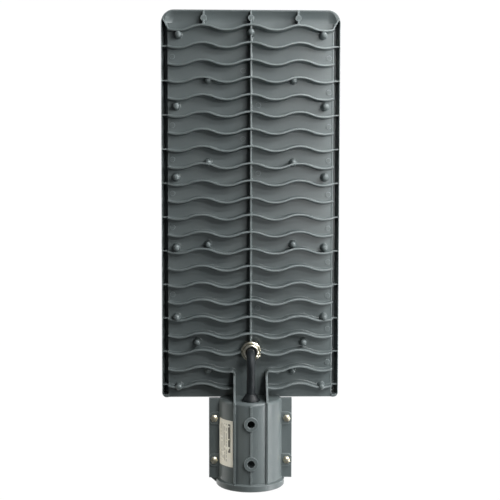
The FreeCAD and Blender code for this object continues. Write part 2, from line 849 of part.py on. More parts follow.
def gland_cap_nut():
    collar_top = gland_shoulder + gland_collar_height
    hexed = hexagon(0, gland_y, gland_shoulder, gland_mouth, gland_flats)
    corner = corner_reach(gland_flats)
    mouth_r = gland_cap_mouth_d / 2
    edges = [
        Part.makeLine(V(0, 0, gland_shoulder), V(corner, 0, gland_shoulder)),
        Part.makeLine(V(corner, 0, gland_shoulder), V(corner, 0, gland_mouth - gland_cap_round)),
        Part.Arc(V(corner, 0, gland_mouth - gland_cap_round),
                 V(corner - (corner - mouth_r) * (1 - DIAGONAL), 0,
                   gland_mouth - gland_cap_round * (1 - DIAGONAL)),
                 V(mouth_r, 0, gland_mouth)).toShape(),
        Part.makeLine(V(mouth_r, 0, gland_mouth), V(0, 0, gland_mouth)),
        Part.makeLine(V(0, 0, gland_mouth), V(0, 0, gland_shoulder)),
    ]
    dome = Part.Face(Part.Wire(edges)).revolve(V(0, 0, 0), V(0, 0, 1), TURN)
    dome.translate(V(0, gland_y, 0))
    room = fuse_all([post(0, gland_y, gland_shoulder, collar_top, gland_collar_d / 2),
                     post(0, gland_y, collar_top, gland_mouth, gland_cap_mouth_d / 2)])
    return hexed.common(dome).cut(room)


def gland_seal_insert():
    low = gland_shoulder + gland_collar_height
    high = low + gland_insert_height
    ring = post(0, gland_y, low, high, gland_cap_mouth_d / 2)
    return ring.cut(post(0, gland_y, low, high, cable_d / 2))


def gland_locknut():
    nut = hexagon(0, gland_y, plate_under - locknut_height, plate_under, locknut_flats)
    return nut.cut(post(0, gland_y, plate_under - locknut_height, plate_under, gland_thread_d / 2))


# Supply cable

sheath_low = o_ring_top - gland_thread_length - sheath_tail


def supply_cable():
    bend_z = gland_mouth + cable_lead + cable_bend_r
    grommet_tip = socket_end + grommet_length
    points = [
        V(0, gland_y, sheath_low),
        V(0, gland_y, bend_z),
        V(0, (gland_y + grommet_tip) / 2, (bend_z + cable_end_height) / 2),
        V(0, grommet_tip + cable_lead, cable_end_height),
        V(0, chamber_end - chamber_tail, cable_end_height),
    ]
    radii = [cable_bend_r, cable_sweep_r, cable_sweep_r]
    print("supply_cable bend radii in mm:", radii)
    return tube(points, radii, cable_d / 2)


def cable_cores():
    out = []
    core_z = tray_under - wire_height
    block_y = panel_near + terminal_near
    for i in (-1, 0, 1):
        x = i * core_spread
        points = [V(x, gland_y, sheath_low), V(x, gland_y, core_z), V(x, block_y, core_z)]
        out.append(tube(points, [core_bend_r], core_d / 2))
        stub_end = chamber_end - chamber_tail
        out.append(along_y(core_d / 2, stub_end - core_stub, stub_end, x, cable_end_height))
    return out


def cable_grommet():
    tip = socket_end + grommet_length
    back = chamber_end - grommet_back
    profile = [(cable_d / 2, back), (grommet_base_r - grommet_rim, back),
               (grommet_base_r - grommet_rim, chamber_end), (grommet_neck_r, chamber_end),
               (grommet_neck_r, socket_end), (grommet_base_r, socket_end),
               (grommet_base_r, socket_end + grommet_rim), (grommet_tip_r, tip), (cable_d / 2, tip)]
    shape = turned_y(profile)
    shape.translate(V(0, 0, cable_end_height))
    return shape


# Label

def rating_label():
    ring = along_y(barrel_r + label_thickness, label_first, label_first + label_length)
    ring = ring.cut(along_y(barrel_r, label_first, label_first + label_length))
    reach = 2 * barrel_r
    low = V(-math.cos(math.radians(label_low_angle)), 0, math.sin(math.radians(label_low_angle))) * reach
    high = V(-math.cos(math.radians(label_high_angle)), 0, math.sin(math.radians(label_high_angle))) * reach
    wedge = Part.Face(Part.makePolygon([V(0, 0, 0), low, high, V(0, 0, 0)])).extrude(V(0, far, 0))
    return ring.common(wedge)


# Front cover

def cover_gasket():
    return seal_ring(frame_back, seal_face)


def front_frame():
    body = outline(skirt_wall + frame_clearance, front_z, frame_back)
    glass_x = seal_x - seal_wall - glass_inset
    near = seal_near + seal_wall + glass_inset
    far_y = seal_far - seal_wall - glass_inset
    r = seal_corner_r - seal_wall
    gap = glass_edge_gap
    shelf = front_z + glass_shelf_thickness
    rebate = rounded_rect(glass_x + gap, near - gap, far_y + gap, r, r, shelf, frame_back)
    opening = rounded_rect(glass_x - glass_shelf, near + glass_shelf, far_y - glass_shelf, r, r,
                           front_z, frame_back)
    holes = [post(x, y, front_z, frame_back, cover_hole_d / 2) for x, y in cover_screw_places()]
    holes += [post(x, y, front_z, front_z + cover_recess_depth, cover_recess_d / 2)
              for x, y in cover_screw_places()]
    return cut_all(body, [fuse_all([rebate, opening])] + holes)


def glass_plate(inset, z0, z1):
    glass_x = seal_x - seal_wall - glass_inset - inset
    near = seal_near + seal_wall + glass_inset + inset
    far_y = seal_far - seal_wall - glass_inset - inset
    r = seal_corner_r - seal_wall
    return rounded_rect(glass_x, near, far_y, r, r, z0, z1)


def glass_seal():
    low = front_z + glass_shelf_thickness
    high = low + glass_seal_thickness
    return glass_plate(0.0, low, high).cut(glass_plate(glass_shelf, low, high))


def cover_glass():
    low = front_z + glass_shelf_thickness + glass_seal_thickness
    return glass_plate(0.0, low, low + glass_thickness)


def cover_screws():
    seat = front_z + cover_recess_depth
    out = []
    for x, y in cover_screw_places():
        head = post(x, y, seat - cover_head_height, seat, cover_head_d / 2)
        shank = post(x, y, seat, frame_back + cover_screw_length, cover_screw_d / 2)
        key = hexagon(x, y, seat - cover_head_height, seat - cover_head_height + hex_socket_depth,
                      hex_socket_flats)
        out.append(fuse_all([head, shank]).cut(key))
    return out


# Light unit

led_row_pitch = board_boss_pitch / led_per_row_gap
first_led_y = board_ys[0] - led_row_pitch / 2
last_led_y = board_ys[-1] + led_row_pitch / 2
board_near = first_led_y - board_near_margin
board_far = last_led_y + board_margin


def led_places():
    rows = round((last_led_y - first_led_y) / led_row_pitch) + 1
    first_column = -(led_columns - 1) / 2
    return [((first_column + c) * led_column_pitch, first_led_y + r * led_row_pitch)
            for r in range(rows) for c in range(led_columns)]


def board_plate(z0, z1, near=board_near):
    plate = box(-board_half_width, board_half_width, near, board_far, z0, z1)
    return cut_all(plate, [post(x, y, z0, z1, board_hole_r) for x, y in board_screw_places()])


def thermal_pad():
    return board_plate(plate_under - pad_thickness, plate_under)


def led_board():
    return board_plate(board_under, plate_under - pad_thickness)


def led_chips():
    half = led_size / 2
    return [box(x - half, x + half, y - half, y + half, board_under - led_height, board_under)
            for x, y in led_places()]


def lens_array():
    """Clear plate with one dome a chip, hung on the board by short sleeves at its screws."""
    low = lens_back - lens_plate_thickness
    plate = board_plate(low, lens_back, first_led_y - board_margin)
    ball_r = (lens_r ** 2 + lens_rise ** 2) / (2 * lens_rise)
    below = box(-far, far, 0, far, -far, low)
    domes = [Part.makeSphere(ball_r, V(x, y, low + ball_r - lens_rise)).common(below)
             for x, y in led_places()]
    sleeves = [post(x, y, lens_back, board_under, board_screw_head_d / 2).cut(
               post(x, y, lens_back, board_under, board_hole_r)) for x, y in board_screw_places()]
    return plate.multiFuse(domes + sleeves)


def screw(x, y, seat, length, d, head_d, head_height):
    head = post(x, y, seat - head_height, seat, head_d / 2)
    return fuse_all([head, post(x, y, seat, seat + length, d / 2)])


def board_screws():
    seat = lens_back - lens_plate_thickness
    length = plate_under + board_screw_depth - seat
    return [screw(x, y, seat, length, board_screw_d, board_screw_head_d, board_screw_head_height)
            for x, y in board_screw_places()]


# Driver

driver_y = panel_near + driver_near
terminal_y = panel_near + terminal_near


def driver_tray():
    plate = box(-tray_half_width, tray_half_width, panel_near + tray_near, panel_near + tray_far,
                tray_under, plate_under)
    room = post(0, gland_y, tray_under, plate_under, corner_reach(locknut_flats) + tray_gland_gap)
    holes = [post(x, y, tray_under, plate_under, board_hole_r) for x, y in driver_screw_places()]
    return cut_all(plate, [room, earth_hole()] + holes)


def driver_case():
    low = tray_under - driver_height + driver_cover_thickness
    return box(-driver_half_width, driver_half_width, driver_y, driver_y + driver_length, low, tray_under)


def driver_cover():
    low = tray_under - driver_height
    x = driver_half_width - driver_lip
    return box(-x, x, driver_y + driver_lip, driver_y + driver_length - driver_lip,
               low, low + driver_cover_thickness)


def driver_screws():
    return [screw(x, y, tray_under, driver_screw_length, board_screw_d, board_screw_head_d,
                  board_screw_head_height) for x, y in driver_screw_places()]


def terminal_block():
    return box(-terminal_half_width, terminal_half_width, terminal_y, terminal_y + terminal_length,
               tray_under - terminal_height, tray_under)


def driver_leads():
    """Three short wires from the terminals, and two from the driver to the board."""
    z = tray_under - wire_height
    out = [along_y(wire_d / 2, terminal_y + terminal_length, driver_y, i * wire_spread, z)
           for i in (-1, 0, 1)]
    landing_y = board_near + lead_landing
    for side in (-1, 1):
        x = side * lead_spread
        points = [V(x, driver_y + driver_length, z), V(x, landing_y, z), V(x, landing_y, board_under)]
        out.append(tube(points, [lead_bend_r], wire_d / 2))
    return out


def gear_cover():
    low = front_z + glass_shelf_thickness + glass_seal_thickness + glass_thickness + gear_cover_gap
    near = panel_near + gear_cover_near
    end = near + gear_cover_length
    x = tray_half_width
    outside = box(-x, x, near, end, low, tray_under)
    t = gear_cover_thickness
    return outside.cut(box(-x + t, x - t, near, end, low + t, tray_under))


def earth_hole():
    return post(earth_x, panel_near + earth_from_near, front_z, earth_hole_top, earth_screw_d / 2)


def earth_lug():
    y = panel_near + earth_from_near
    z = tray_under
    eye = post(earth_x, y, z - earth_lug_thickness, z, earth_lug_r)
    tail = box(earth_x - earth_lug_length, earth_x, y - core_d / 2, y + core_d / 2,
               z - earth_lug_thickness, z)
    hole = post(earth_x, y, z - earth_lug_thickness, z, earth_screw_d / 2)
    return fuse_all([eye, tail]).cut(hole)


def earth_screw():
    seat = tray_under - earth_lug_thickness
    length = earth_hole_top - seat
    return screw(earth_x, panel_near + earth_from_near, seat, length, earth_screw_d, earth_head_d,
                 earth_head_height)


NODES = [
    housing, socket_clamp, clamp_bolts, clamp_washers, clamp_spring_washers, clamp_nuts,
    gland_o_ring, gland_body, gland_cap_nut, gland_seal_insert, gland_locknut,
    supply_cable, cable_cores, cable_grommet, rating_label,
    cover_gasket, front_frame, glass_seal, cover_glass, cover_screws,
    thermal_pad, led_board, led_chips, lens_array, board_screws,
    driver_tray, driver_case, driver_cover, driver_screws, terminal_block, driver_leads,
    gear_cover, earth_lug, earth_screw,
]


os.makedirs("parts", exist_ok=True)
for make in NODES:
    save(make.__name__, make())
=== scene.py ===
import bpy
import json
import math
from mathutils import Matrix, Vector

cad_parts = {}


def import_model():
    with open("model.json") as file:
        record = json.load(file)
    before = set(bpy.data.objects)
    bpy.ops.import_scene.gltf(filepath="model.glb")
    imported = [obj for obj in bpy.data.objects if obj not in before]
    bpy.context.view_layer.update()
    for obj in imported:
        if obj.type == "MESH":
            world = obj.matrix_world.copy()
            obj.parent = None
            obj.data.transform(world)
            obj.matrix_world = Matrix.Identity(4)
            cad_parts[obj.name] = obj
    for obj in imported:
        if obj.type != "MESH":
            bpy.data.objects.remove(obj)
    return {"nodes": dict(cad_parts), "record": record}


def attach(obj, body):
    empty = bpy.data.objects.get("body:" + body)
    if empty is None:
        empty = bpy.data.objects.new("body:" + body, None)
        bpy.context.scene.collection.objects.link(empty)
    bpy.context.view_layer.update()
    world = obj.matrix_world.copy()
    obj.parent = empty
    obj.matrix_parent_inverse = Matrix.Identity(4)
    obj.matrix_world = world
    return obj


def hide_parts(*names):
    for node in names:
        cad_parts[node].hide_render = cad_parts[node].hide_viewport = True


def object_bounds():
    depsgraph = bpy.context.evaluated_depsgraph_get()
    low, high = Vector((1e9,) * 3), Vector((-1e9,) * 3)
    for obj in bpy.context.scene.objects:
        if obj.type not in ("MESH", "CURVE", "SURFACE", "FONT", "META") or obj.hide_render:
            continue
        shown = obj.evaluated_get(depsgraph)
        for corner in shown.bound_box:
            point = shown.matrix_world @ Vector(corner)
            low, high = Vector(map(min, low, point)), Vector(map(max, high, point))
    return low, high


# Looks of a street light head, in metres, in the frame of its solids.
# The pole socket's axis is Y, its mouth at the origin, and the finned back faces +Z.

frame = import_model()
nodes = frame["nodes"]
cad_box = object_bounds()

# Sizes that the new pieces share with the solids
PLATE_Z = -0.008
PLATEAU_X = 0.089
FIN_PITCH = 0.01827
FIRST_FIN = 0.4942
FIN_COUNT = 22
FIN_HEIGHT = 0.016
FIN_EDGE_HEIGHT = 0.007
FIN_THICKNESS = 0.0017
WAVE_LENGTH = 0.0523
WAVE_HEIGHT = 0.0053
SPINE_HEIGHT = 0.0134
GLAND_Y = 0.1452
GLAND_ROOM = 0.0106
WEB_X = 0.0174
BEND_R = 0.0032
LABEL_NEAR = 0.0248
LABEL_FAR = 0.0748
FLOOR_Z = cad_box[0][2]


# Camera

CAMERA_DISTANCE = 1.13942
CAMERA_PITCH = math.radians(3.817)
CAMERA_YAW = math.radians(1.375)
CAMERA_ROLL = math.radians(-0.109)
AIM = Vector((0.0, 0.26129, PLATE_Z))
AIM_OFFSET = Vector((-0.00047, -0.00672, 0.0))
PHOTO_SIZE = 500
FOCAL_PIXELS = 1050.58


def camera():
    turn = (Matrix.Rotation(CAMERA_ROLL, 3, "Z") @ Matrix.Rotation(CAMERA_PITCH, 3, "X")
            @ Matrix.Rotation(CAMERA_YAW, 3, "Y")).transposed()
    place = AIM + turn @ (AIM_OFFSET + Vector((0.0, 0.0, CAMERA_DISTANCE)))
    data = bpy.data.cameras.new("photo_camera")
    data.sensor_fit = "HORIZONTAL"
    data.lens = data.sensor_width * FOCAL_PIXELS / PHOTO_SIZE
    seat = bpy.data.objects.new("photo_camera", data)
    seat.matrix_world = Matrix.Translation(place) @ turn.to_4x4()
    bpy.context.scene.collection.objects.link(seat)
    bpy.context.scene.camera = seat


camera()


# Shader writing

class Wire:
    """The output of a shader node, on which sums are written."""

    def __init__(self, tree, socket):
        self.tree = tree
        self.socket = socket

    def maths(self, operation, first, second):
        return add_node(self.tree, "ShaderNodeMath", {"operation": operation}, {0: first, 1: second})

    def __add__(self, other):
        return self.maths("ADD", self, other)

    def __radd__(self, other):
        return self.maths("ADD", other, self)

    def __sub__(self, other):
        return self.maths("SUBTRACT", self, other)

    def __rsub__(self, other):
        return self.maths("SUBTRACT", other, self)

    def __mul__(self, other):
        return self.maths("MULTIPLY", self, other)

    def __rmul__(self, other):
        return self.maths("MULTIPLY", other, self)

    def __truediv__(self, other):
        return self.maths("DIVIDE", self, other)

    def __gt__(self, other):
        return self.maths("GREATER_THAN", self, other)

    def __lt__(self, other):
        return self.maths("LESS_THAN", self, other)


def add_node(tree, kind, settings, values, out=0):
    """A new node: its settings first (a ramp's stops too), then its sockets' values and links."""
    made = tree.nodes.new(kind)
    for name, value in settings.items():
        if name == "stops":
            set_stops(made.color_ramp, value)
        else:
            setattr(made, name, value)
    for name, value in values.items():
        if isinstance(value, Wire):
            tree.links.new(value.socket, made.inputs[name])
        else:
            made.inputs[name].default_value = value
    return Wire(tree, made.outputs[out])


def set_stops(band, stops):
    for place, _ in stops[2:]:
        band.elements.new(place)
    for stop, (place, colour) in zip(band.elements, sorted(stops)):
        stop.position = place
        stop.color = colour


class Finish:
    """A material on one principled shader. Words name the sockets that stay constant."""

    def __init__(self, name, **constants):
        self.material = bpy.data.materials.new(name)
        self.material.use_nodes = True
        self.tree = self.material.node_tree
        self.shader = self.tree.nodes["Principled BSDF"]
        for word, value in constants.items():
            self.shader.inputs[word.replace("_", " ")].default_value = value
        self.place = self.node("ShaderNodeTexCoord", out="Object")

    def node(self, kind, settings=None, values=None, out=0):
        return add_node(self.tree, kind, settings or {}, values or {}, out)

    def feed(self, word, wire):
        self.tree.links.new(wire.socket, self.shader.inputs[word])

    def noise(self, scale, detail=2.0, roughness=0.5, vector=None):
        return self.node("ShaderNodeTexNoise", None, {"Vector": vector or self.place, "Scale": scale,
                                                      "Detail": detail, "Roughness": roughness})

    def ramp(self, factor, *stops):
        return self.node("ShaderNodeValToRGB", {"stops": stops}, {0: factor})

    def mix(self, factor, first, second):
        return self.node("ShaderNodeMix", {"data_type": "RGBA"}, {0: factor, 6: first, 7: second}, 2)

    def along(self, axis):
        """One coordinate of the place, 0 to 2."""
        return self.node("ShaderNodeSeparateXYZ", None, {0: self.place}, axis)

    def bump(self, height, distance, strength=1.0, edge=0.0):
        """Surface relief. Where edge is given, corners of that radius look rounded too."""
        values = {"Height": height, "Distance": distance, "Strength": strength}
        if edge:
            values["Normal"] = self.node("ShaderNodeBevel", {"samples": 6}, {"Radius": edge})
        self.feed("Normal", self.node("ShaderNodeBump", None, values))


def rgb(red, green, blue):
    """A colour given as it looks on a screen, 0 to 255, made linear for the shader."""
    parts = [c / 255 for c in (red, green, blue)]
    linear = [c / 12.92 if c <= 0.04045 else ((c + 0.055) / 1.055) ** 2.4 for c in parts]
    return (*linear, 1.0)


# Finishes

# The coat: the radius that its sharp edges look rounded by, how wide and how strong the painted highlight
# along its sharp edges is, how much its dark specks show, and the depth of its orange peel
COAT_EDGE = 0.00035
EDGE_HIGHLIGHT_REACH = 0.0009
EDGE_HIGHLIGHT_SHARE = 0.8
SPECK_SHARE = 0.5
PEEL_DEPTH = 0.00006


def powder_coat():
    """Grey powder coat on the castings: satin, fine orange peel, faint clouds, a painted highlight on sharp
    edges.
    """
    coat = Finish("powder_coat", Metallic=0.0)
    clouds = coat.noise(28.0, detail=4.0, roughness=0.55)
    grain = coat.noise(1100.0, roughness=0.6)
    peel = coat.noise(620.0, detail=1.0)
    tone = coat.ramp(clouds, (0.3, rgb(102, 111, 112)), (0.7, rgb(111, 119, 119)))
    speckled = coat.mix(grain * SPECK_SHARE, tone, rgb(84, 92, 93))
    # Painted highlight: the colour turns pale along convex edges, found by occlusion inside the mesh, where
    # light would catch them
    edge_highlight_room = coat.node("ShaderNodeAmbientOcclusion", {"inside": True, "only_local": True, "samples": 4},
                     {"Distance": EDGE_HIGHLIGHT_REACH}, "AO")
    coat.feed("Base Color", coat.mix((1.0 - edge_highlight_room) * EDGE_HIGHLIGHT_SHARE, speckled, rgb(176, 186, 186)))
    coat.feed("Roughness", 0.26 + 0.10 * clouds)
    coat.bump(grain * 0.35 + peel, PEEL_DEPTH, 0.6, edge=COAT_EDGE)
    return coat.material


def nickel():
    plating = Finish("nickel_plating", Metallic=1.0)
    wear = plating.noise(160.0, detail=4.0)
    lines = plating.noise(900.0, detail=1.0)
    plating.feed("Base Color", plating.ramp(wear, (0.3, rgb(194, 188, 168)), (0.7, rgb(218, 214, 202))))
    plating.feed("Roughness", 0.14 + 0.16 * wear)
    plating.bump(lines, 0.00004, 0.5, edge=0.0004)
    return plating.material


def zinc():
    plating = Finish("zinc_plating", Metallic=1.0)
    wear = plating.noise(340.0, detail=4.0)
    plating.feed("Base Color", plating.ramp(wear, (0.3, rgb(206, 196, 166)), (0.7, rgb(230, 226, 210))))
    plating.feed("Roughness", 0.22 + 0.25 * wear)
    plating.bump(wear, 0.00005, 0.4, edge=0.0003)
    return plating.material


def rubber(name, dark, light, roughness):
    skin = Finish(name, Metallic=0.0, Specular_IOR_Level=0.33)
    grain = skin.noise(1400.0)
    patches = skin.noise(70.0, detail=3.0)
    skin.feed("Base Color", skin.ramp(patches, (0.3, dark), (0.7, light)))
    skin.feed("Roughness", roughness + 0.15 * patches)
    skin.bump(grain, 0.00005, 0.5, edge=0.0004)
    return skin.material


def plastic(name, colour, roughness):
    moulded = Finish(name, Metallic=0.0)
    grain = moulded.noise(1100.0)
    tone = moulded.noise(40.0, detail=3.0)
    darker = tuple(0.86 * c for c in colour[:3]) + (1.0,)
    moulded.feed("Base Color", moulded.ramp(tone, (0.3, darker), (0.7, colour)))
    moulded.feed("Roughness", roughness + 0.1 * tone)
    moulded.bump(grain, 0.00003, 0.4, edge=0.0003)
    return moulded.material


def bare_metal(name, dark, light, roughness):
    metal = Finish(name, Metallic=1.0)
    stretched = metal.node("ShaderNodeMapping", None, {"Vector": metal.place, "Scale": (900.0, 40.0, 900.0)})
    lines = metal.noise(1.0, detail=3.0, roughness=0.6, vector=stretched)
    metal.feed("Base Color", metal.ramp(lines, (0.3, dark), (0.7, light)))
    metal.feed("Roughness", roughness + 0.15 * lines)
    metal.bump(lines, 0.00003, 0.4, edge=0.0003)
    return metal.material


def clear(name, colour, roughness, tint):
    pane = Finish(name, Transmission_Weight=1.0, Metallic=0.0, IOR=1.5)
    haze = pane.noise(60.0)
    pane.feed("Base Color", pane.ramp(haze, (0.3, colour), (0.7, tint)))
    pane.feed("Roughness", roughness + 0.02 * haze)
    return pane.material


# The label's print: its margins, and where its rows and its thick bar lie
PRINT_NEAR = LABEL_NEAR + 0.005
PRINT_FAR = LABEL_FAR - 0.004
PRINT_ROW = 0.0023
ROWS_LOW = 0.0115
ROWS_HIGH = 0.0228
THICK_NEAR = 0.04
THICK_LOW = 0.0244
THICK_HIGH = 0.0266
PRINT_GRAIN = (0.0, 300.0, 190.0)


def label_film():
    """Pale film on the barrel, with plain printed bars that say nothing."""
    film = Finish("label_film", Metallic=0.0)
    tone = film.noise(90.0, detail=3.0)
    paper = film.ramp(tone, (0.3, rgb(244, 242, 228)), (0.7, rgb(250, 249, 240)))
    y = film.along(1)
    z = film.along(2)
    inside = (y > PRINT_NEAR) * (y < PRINT_FAR)
    row = film.node("ShaderNodeMath", {"operation": "FRACT"}, {0: z / PRINT_ROW})
    stretched = film.node("ShaderNodeMapping", None, {"Vector": film.place, "Scale": PRINT_GRAIN})
    ragged = film.noise(1.0, detail=0.0, vector=stretched)
    thin_bars = (row > 0.5) * (ragged > 0.42) * (z > ROWS_LOW) * (z < ROWS_HIGH)
    thick_bars = (ragged > 0.36) * (z > THICK_LOW) * (z < THICK_HIGH) * (y > THICK_NEAR)
    bars = inside * (0.5 * thin_bars + 0.85 * thick_bars)
    film.feed("Base Color", film.mix(bars, paper, rgb(60, 60, 54)))
    film.feed("Roughness", 0.35 + 0.1 * tone)
    film.bump(film.noise(700.0), 0.00003, 0.4)
    return film.material


FINISHES = {
    "casting": powder_coat(),
    "nickel_brass": nickel(),
    "plated_steel": zinc(),
    "black_rubber": rubber("black_rubber", rgb(15, 19, 21), rgb(25, 30, 32), 0.42),
    "silicone": rubber("silicone", rgb(178, 178, 174), rgb(196, 196, 192), 0.55),
    "cable_sheath": rubber("cable_sheath", rgb(20, 25, 28), rgb(29, 34, 37), 0.5),
    "core_sheath": plastic("core_sheath", rgb(112, 72, 44), 0.4),
    "label_film": label_film(),
    "tempered_glass": clear("tempered_glass", rgb(232, 242, 240), 0.0, rgb(238, 246, 244)),
    "board": plastic("white_board", rgb(232, 234, 232), 0.35),
    "chips": plastic("led_phosphor", rgb(238, 208, 96), 0.4),
    "lens": clear("lens_plastic", rgb(240, 243, 244), 0.02, rgb(246, 248, 249)),
    "sheet_metal": bare_metal("zinc_sheet", rgb(150, 152, 154), rgb(186, 188, 190), 0.3),
    "white_sheet": plastic("white_sheet", rgb(228, 230, 228), 0.4),
    "driver_body": bare_metal("driver_body", rgb(140, 142, 144), rgb(174, 176, 178), 0.35),
    "black_plastic": plastic("black_plastic", rgb(38, 39, 40), 0.45),
    "white_plastic": plastic("white_plastic", rgb(226, 226, 220), 0.4),
    "lead_sheath": plastic("lead_sheath", rgb(176, 38, 32), 0.4),
}

for entry in frame["record"]["subparts"]:
    for place in nodes[entry["node"]].material_slots:
        place.material = FINISHES[entry["material_slot"]]


# Making pieces

def keep(piece, slot):
    """Finish a new piece: the look that goes with the named slot, and the body it rides on."""
    piece.data.materials.clear()
    piece.data.materials.append(FINISHES[slot])
    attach(piece, "root")


def select_only(*pieces):
    bpy.ops.object.select_all(action="DESELECT")
    for piece in pieces:
        piece.select_set(True)
    bpy.context.view_layer.objects.active = pieces[0]


def join(name, pieces):
    select_only(*pieces)
    bpy.ops.object.join()
    whole = bpy.context.view_layer.objects.active
    whole.name = name
    whole.data.name = name
    return whole


def smooth(piece, angle=50):
    select_only(piece)
    bpy.ops.object.shade_smooth_by_angle(angle=math.radians(angle))


def sheet_of(name, rows):
    """A skin through rows of points, all rows as long, as a grid with its points put in place."""
    bpy.ops.object.select_all(action="DESELECT")
    bpy.ops.mesh.primitive_grid_add(x_subdivisions=len(rows[0]) - 1, y_subdivisions=len(rows) - 1)
    skin = bpy.context.view_layer.objects.active
    skin.name = name
    flat = [point for row in rows for point in row]
    for vertex, point in zip(skin.data.vertices, flat):
        vertex.co = point
    return skin


def turned(name, profile, sides=32):
    """A round piece on the Z axis through (radius, height) rings, foot first, closed on top."""
    bpy.ops.object.select_all(action="DESELECT")
    radius, height = profile[0]
    bpy.ops.mesh.primitive_circle_add(vertices=sides, radius=radius, location=(0.0, 0.0, height))
    bpy.ops.object.transform_apply()
    bpy.ops.object.mode_set(mode="EDIT")
    bpy.ops.mesh.select_all(action="SELECT")
    for (r0, h0), (r1, h1) in zip(profile, profile[1:]):
        bpy.ops.mesh.extrude_region_move(TRANSFORM_OT_translate={"value": (0.0, 0.0, h1 - h0)})
        bpy.ops.transform.resize(value=(r1 / r0, r1 / r0, 1.0), center_override=(0.0, 0.0, 0.0))
    bpy.ops.mesh.edge_face_add()
    bpy.ops.mesh.select_all(action="SELECT")
    bpy.ops.mesh.normals_make_consistent(inside=False)
    bpy.ops.object.mode_set(mode="OBJECT")
    piece = bpy.context.view_layer.objects.active
    piece.name = name
    return piece


def copied(piece, place):
    """A copy of a piece with its own mesh, moved by place."""
    twin = piece.copy()
    twin.data = piece.data.copy()
    twin.data.transform(Matrix.Translation(place))
    bpy.context.scene.collection.objects.link(twin)
    return twin


def spread(name, piece, places):
    """One piece out of copies of another at all the places. The pattern itself goes."""
    whole = join(name, [copied(piece, place) for place in places])
    bpy.data.objects.remove(piece)
    return whole


# Wavy fins

HALF_WAVE = WAVE_LENGTH / 2
WAVE_AMP = WAVE_HEIGHT / 2
WAVE_R = ((HALF_WAVE / 2) ** 2 + WAVE_AMP ** 2) / (2 * WAVE_AMP)
CROWN_DROP = FIN_HEIGHT - FIN_EDGE_HEIGHT
CROWN_R = (PLATEAU_X ** 2 + CROWN_DROP ** 2) / (2 * CROWN_DROP)
FOOT_R = 0.0014
SIDE_DRAFT = 0.0001
TOP_ROUND = 0.00025
SKIN_GAP = 0.00004
FOOT_STEPS = 4
TOP_STEPS = 6
FIN_STEP = 0.002
BEND_X = WEB_X + BEND_R
BEND_STEPS = 8


def wave_y(x):
    """Offset in Y of a fin's middle line at x, from its crest."""
    k = round(x / HALF_WAVE)
    sign = 1 if k % 2 == 0 else -1
    return sign * (WAVE_AMP - WAVE_R + math.sqrt(WAVE_R ** 2 - (x - k * HALF_WAVE) ** 2)) - WAVE_AMP


def wave_slope(x):
    k = round(x / HALF_WAVE)
    sign = 1 if k % 2 == 0 else -1
    return -sign * (x - k * HALF_WAVE) / math.sqrt(WAVE_R ** 2 - (x - k * HALF_WAVE) ** 2)


def crown(x):
    """Height of the fins' top edge above the plate at x."""
    return math.sqrt(CROWN_R ** 2 - x ** 2) - CROWN_R + FIN_HEIGHT


def rib_section(height):
    """Half of a cast rib's section, foot to top, as (offset, height) from its middle line."""
    top = FIN_THICKNESS / 2 + SKIN_GAP
    base = top + SIDE_DRAFT * height / FIN_HEIGHT
    foot = [(base + FOOT_R * (1 - math.sin(a)), FOOT_R * (1 - math.cos(a)))
            for a in (i * math.pi / 2 / FOOT_STEPS for i in range(FOOT_STEPS + 1))]
    cap = [(top * math.cos(a), height + TOP_ROUND * math.sin(a))
           for a in (i * math.pi / 2 / TOP_STEPS for i in range(TOP_STEPS + 1))]
    return [(foot[0][0], -SKIN_GAP)] + foot[1:] + cap


def cast_rib(name, spots):
    """A rib along spots of (point, direction across, height), drafted, with filleted feet."""
    rows = []
    for (x, y), across, height in spots:
        half = rib_section(height)
        section = half + [(-n, h) for n, h in half[-2::-1]]
        rows.append([Vector((x + across.x * n, y + across.y * n, PLATE_Z + h)) for n, h in section])
    return sheet_of(name, rows)


def fin_spots(y, x0, x1):
    steps = max(2, round((x1 - x0) / FIN_STEP))
    spots = []
    for i in range(steps + 1):
        x = x0 + (x1 - x0) * i / steps
        across = Vector((-wave_slope(x), 1.0)).normalized()
        spots.append(((x, y + wave_y(x)), across, crown(x)))
    return spots


def bend_spots(y, side):
    """The bend that leads a fin into the web beside the gland, from the web's line to the fin."""
    middle = y + wave_y(BEND_X) - BEND_R
    spots = []
    for i in range(BEND_STEPS):
        a = math.pi / 2 * i / BEND_STEPS
        out = Vector((-math.cos(a), math.sin(a)))
        point = (BEND_X + BEND_R * out.x, middle + BEND_R * out.y)
        spots.append((point, out, crown(BEND_X)))
    if side < 0:
        spots = [((-x, py), Vector((-out.x, out.y)), h) for (x, py), out, h in spots][::-1]
    return spots


def fins():
    ribs = []
    for i in range(FIN_COUNT):
        y = FIRST_FIN - i * FIN_PITCH
        if i == FIN_COUNT - 2:
            left = fin_spots(y, -PLATEAU_X, -BEND_X) + bend_spots(y, -1)
            right = bend_spots(y, 1) + fin_spots(y, BEND_X, PLATEAU_X)
            ribs += [cast_rib("fin", left), cast_rib("fin", right)]
            continue
        inner = 0.0
        if abs(y - GLAND_Y) < GLAND_ROOM:
            inner = GLAND_ROOM
        if i == FIN_COUNT - 1:
            inner = WEB_X
        if inner:
            spans = [(-PLATEAU_X, -inner), (inner, PLATEAU_X)]
        else:
            spans = [(-PLATEAU_X, PLATEAU_X)]
        ribs += [cast_rib("fin", fin_spots(y, x0, x1)) for x0, x1 in spans]
    return ribs


def spine():
    """The straight rib down the middle, from the first fin to the gland."""
    y0 = GLAND_Y + GLAND_ROOM
    spots = [((0.0, y), Vector((1.0, 0.0)), SPINE_HEIGHT) for y in (y0, FIRST_FIN)]
    return cast_rib("spine", spots)


cooling_ribs = join("cooling_ribs", fins() + [spine()])
smooth(cooling_ribs)
keep(cooling_ribs, "casting")


# Screw bosses, as drafted cones with domed tops over the solids' own

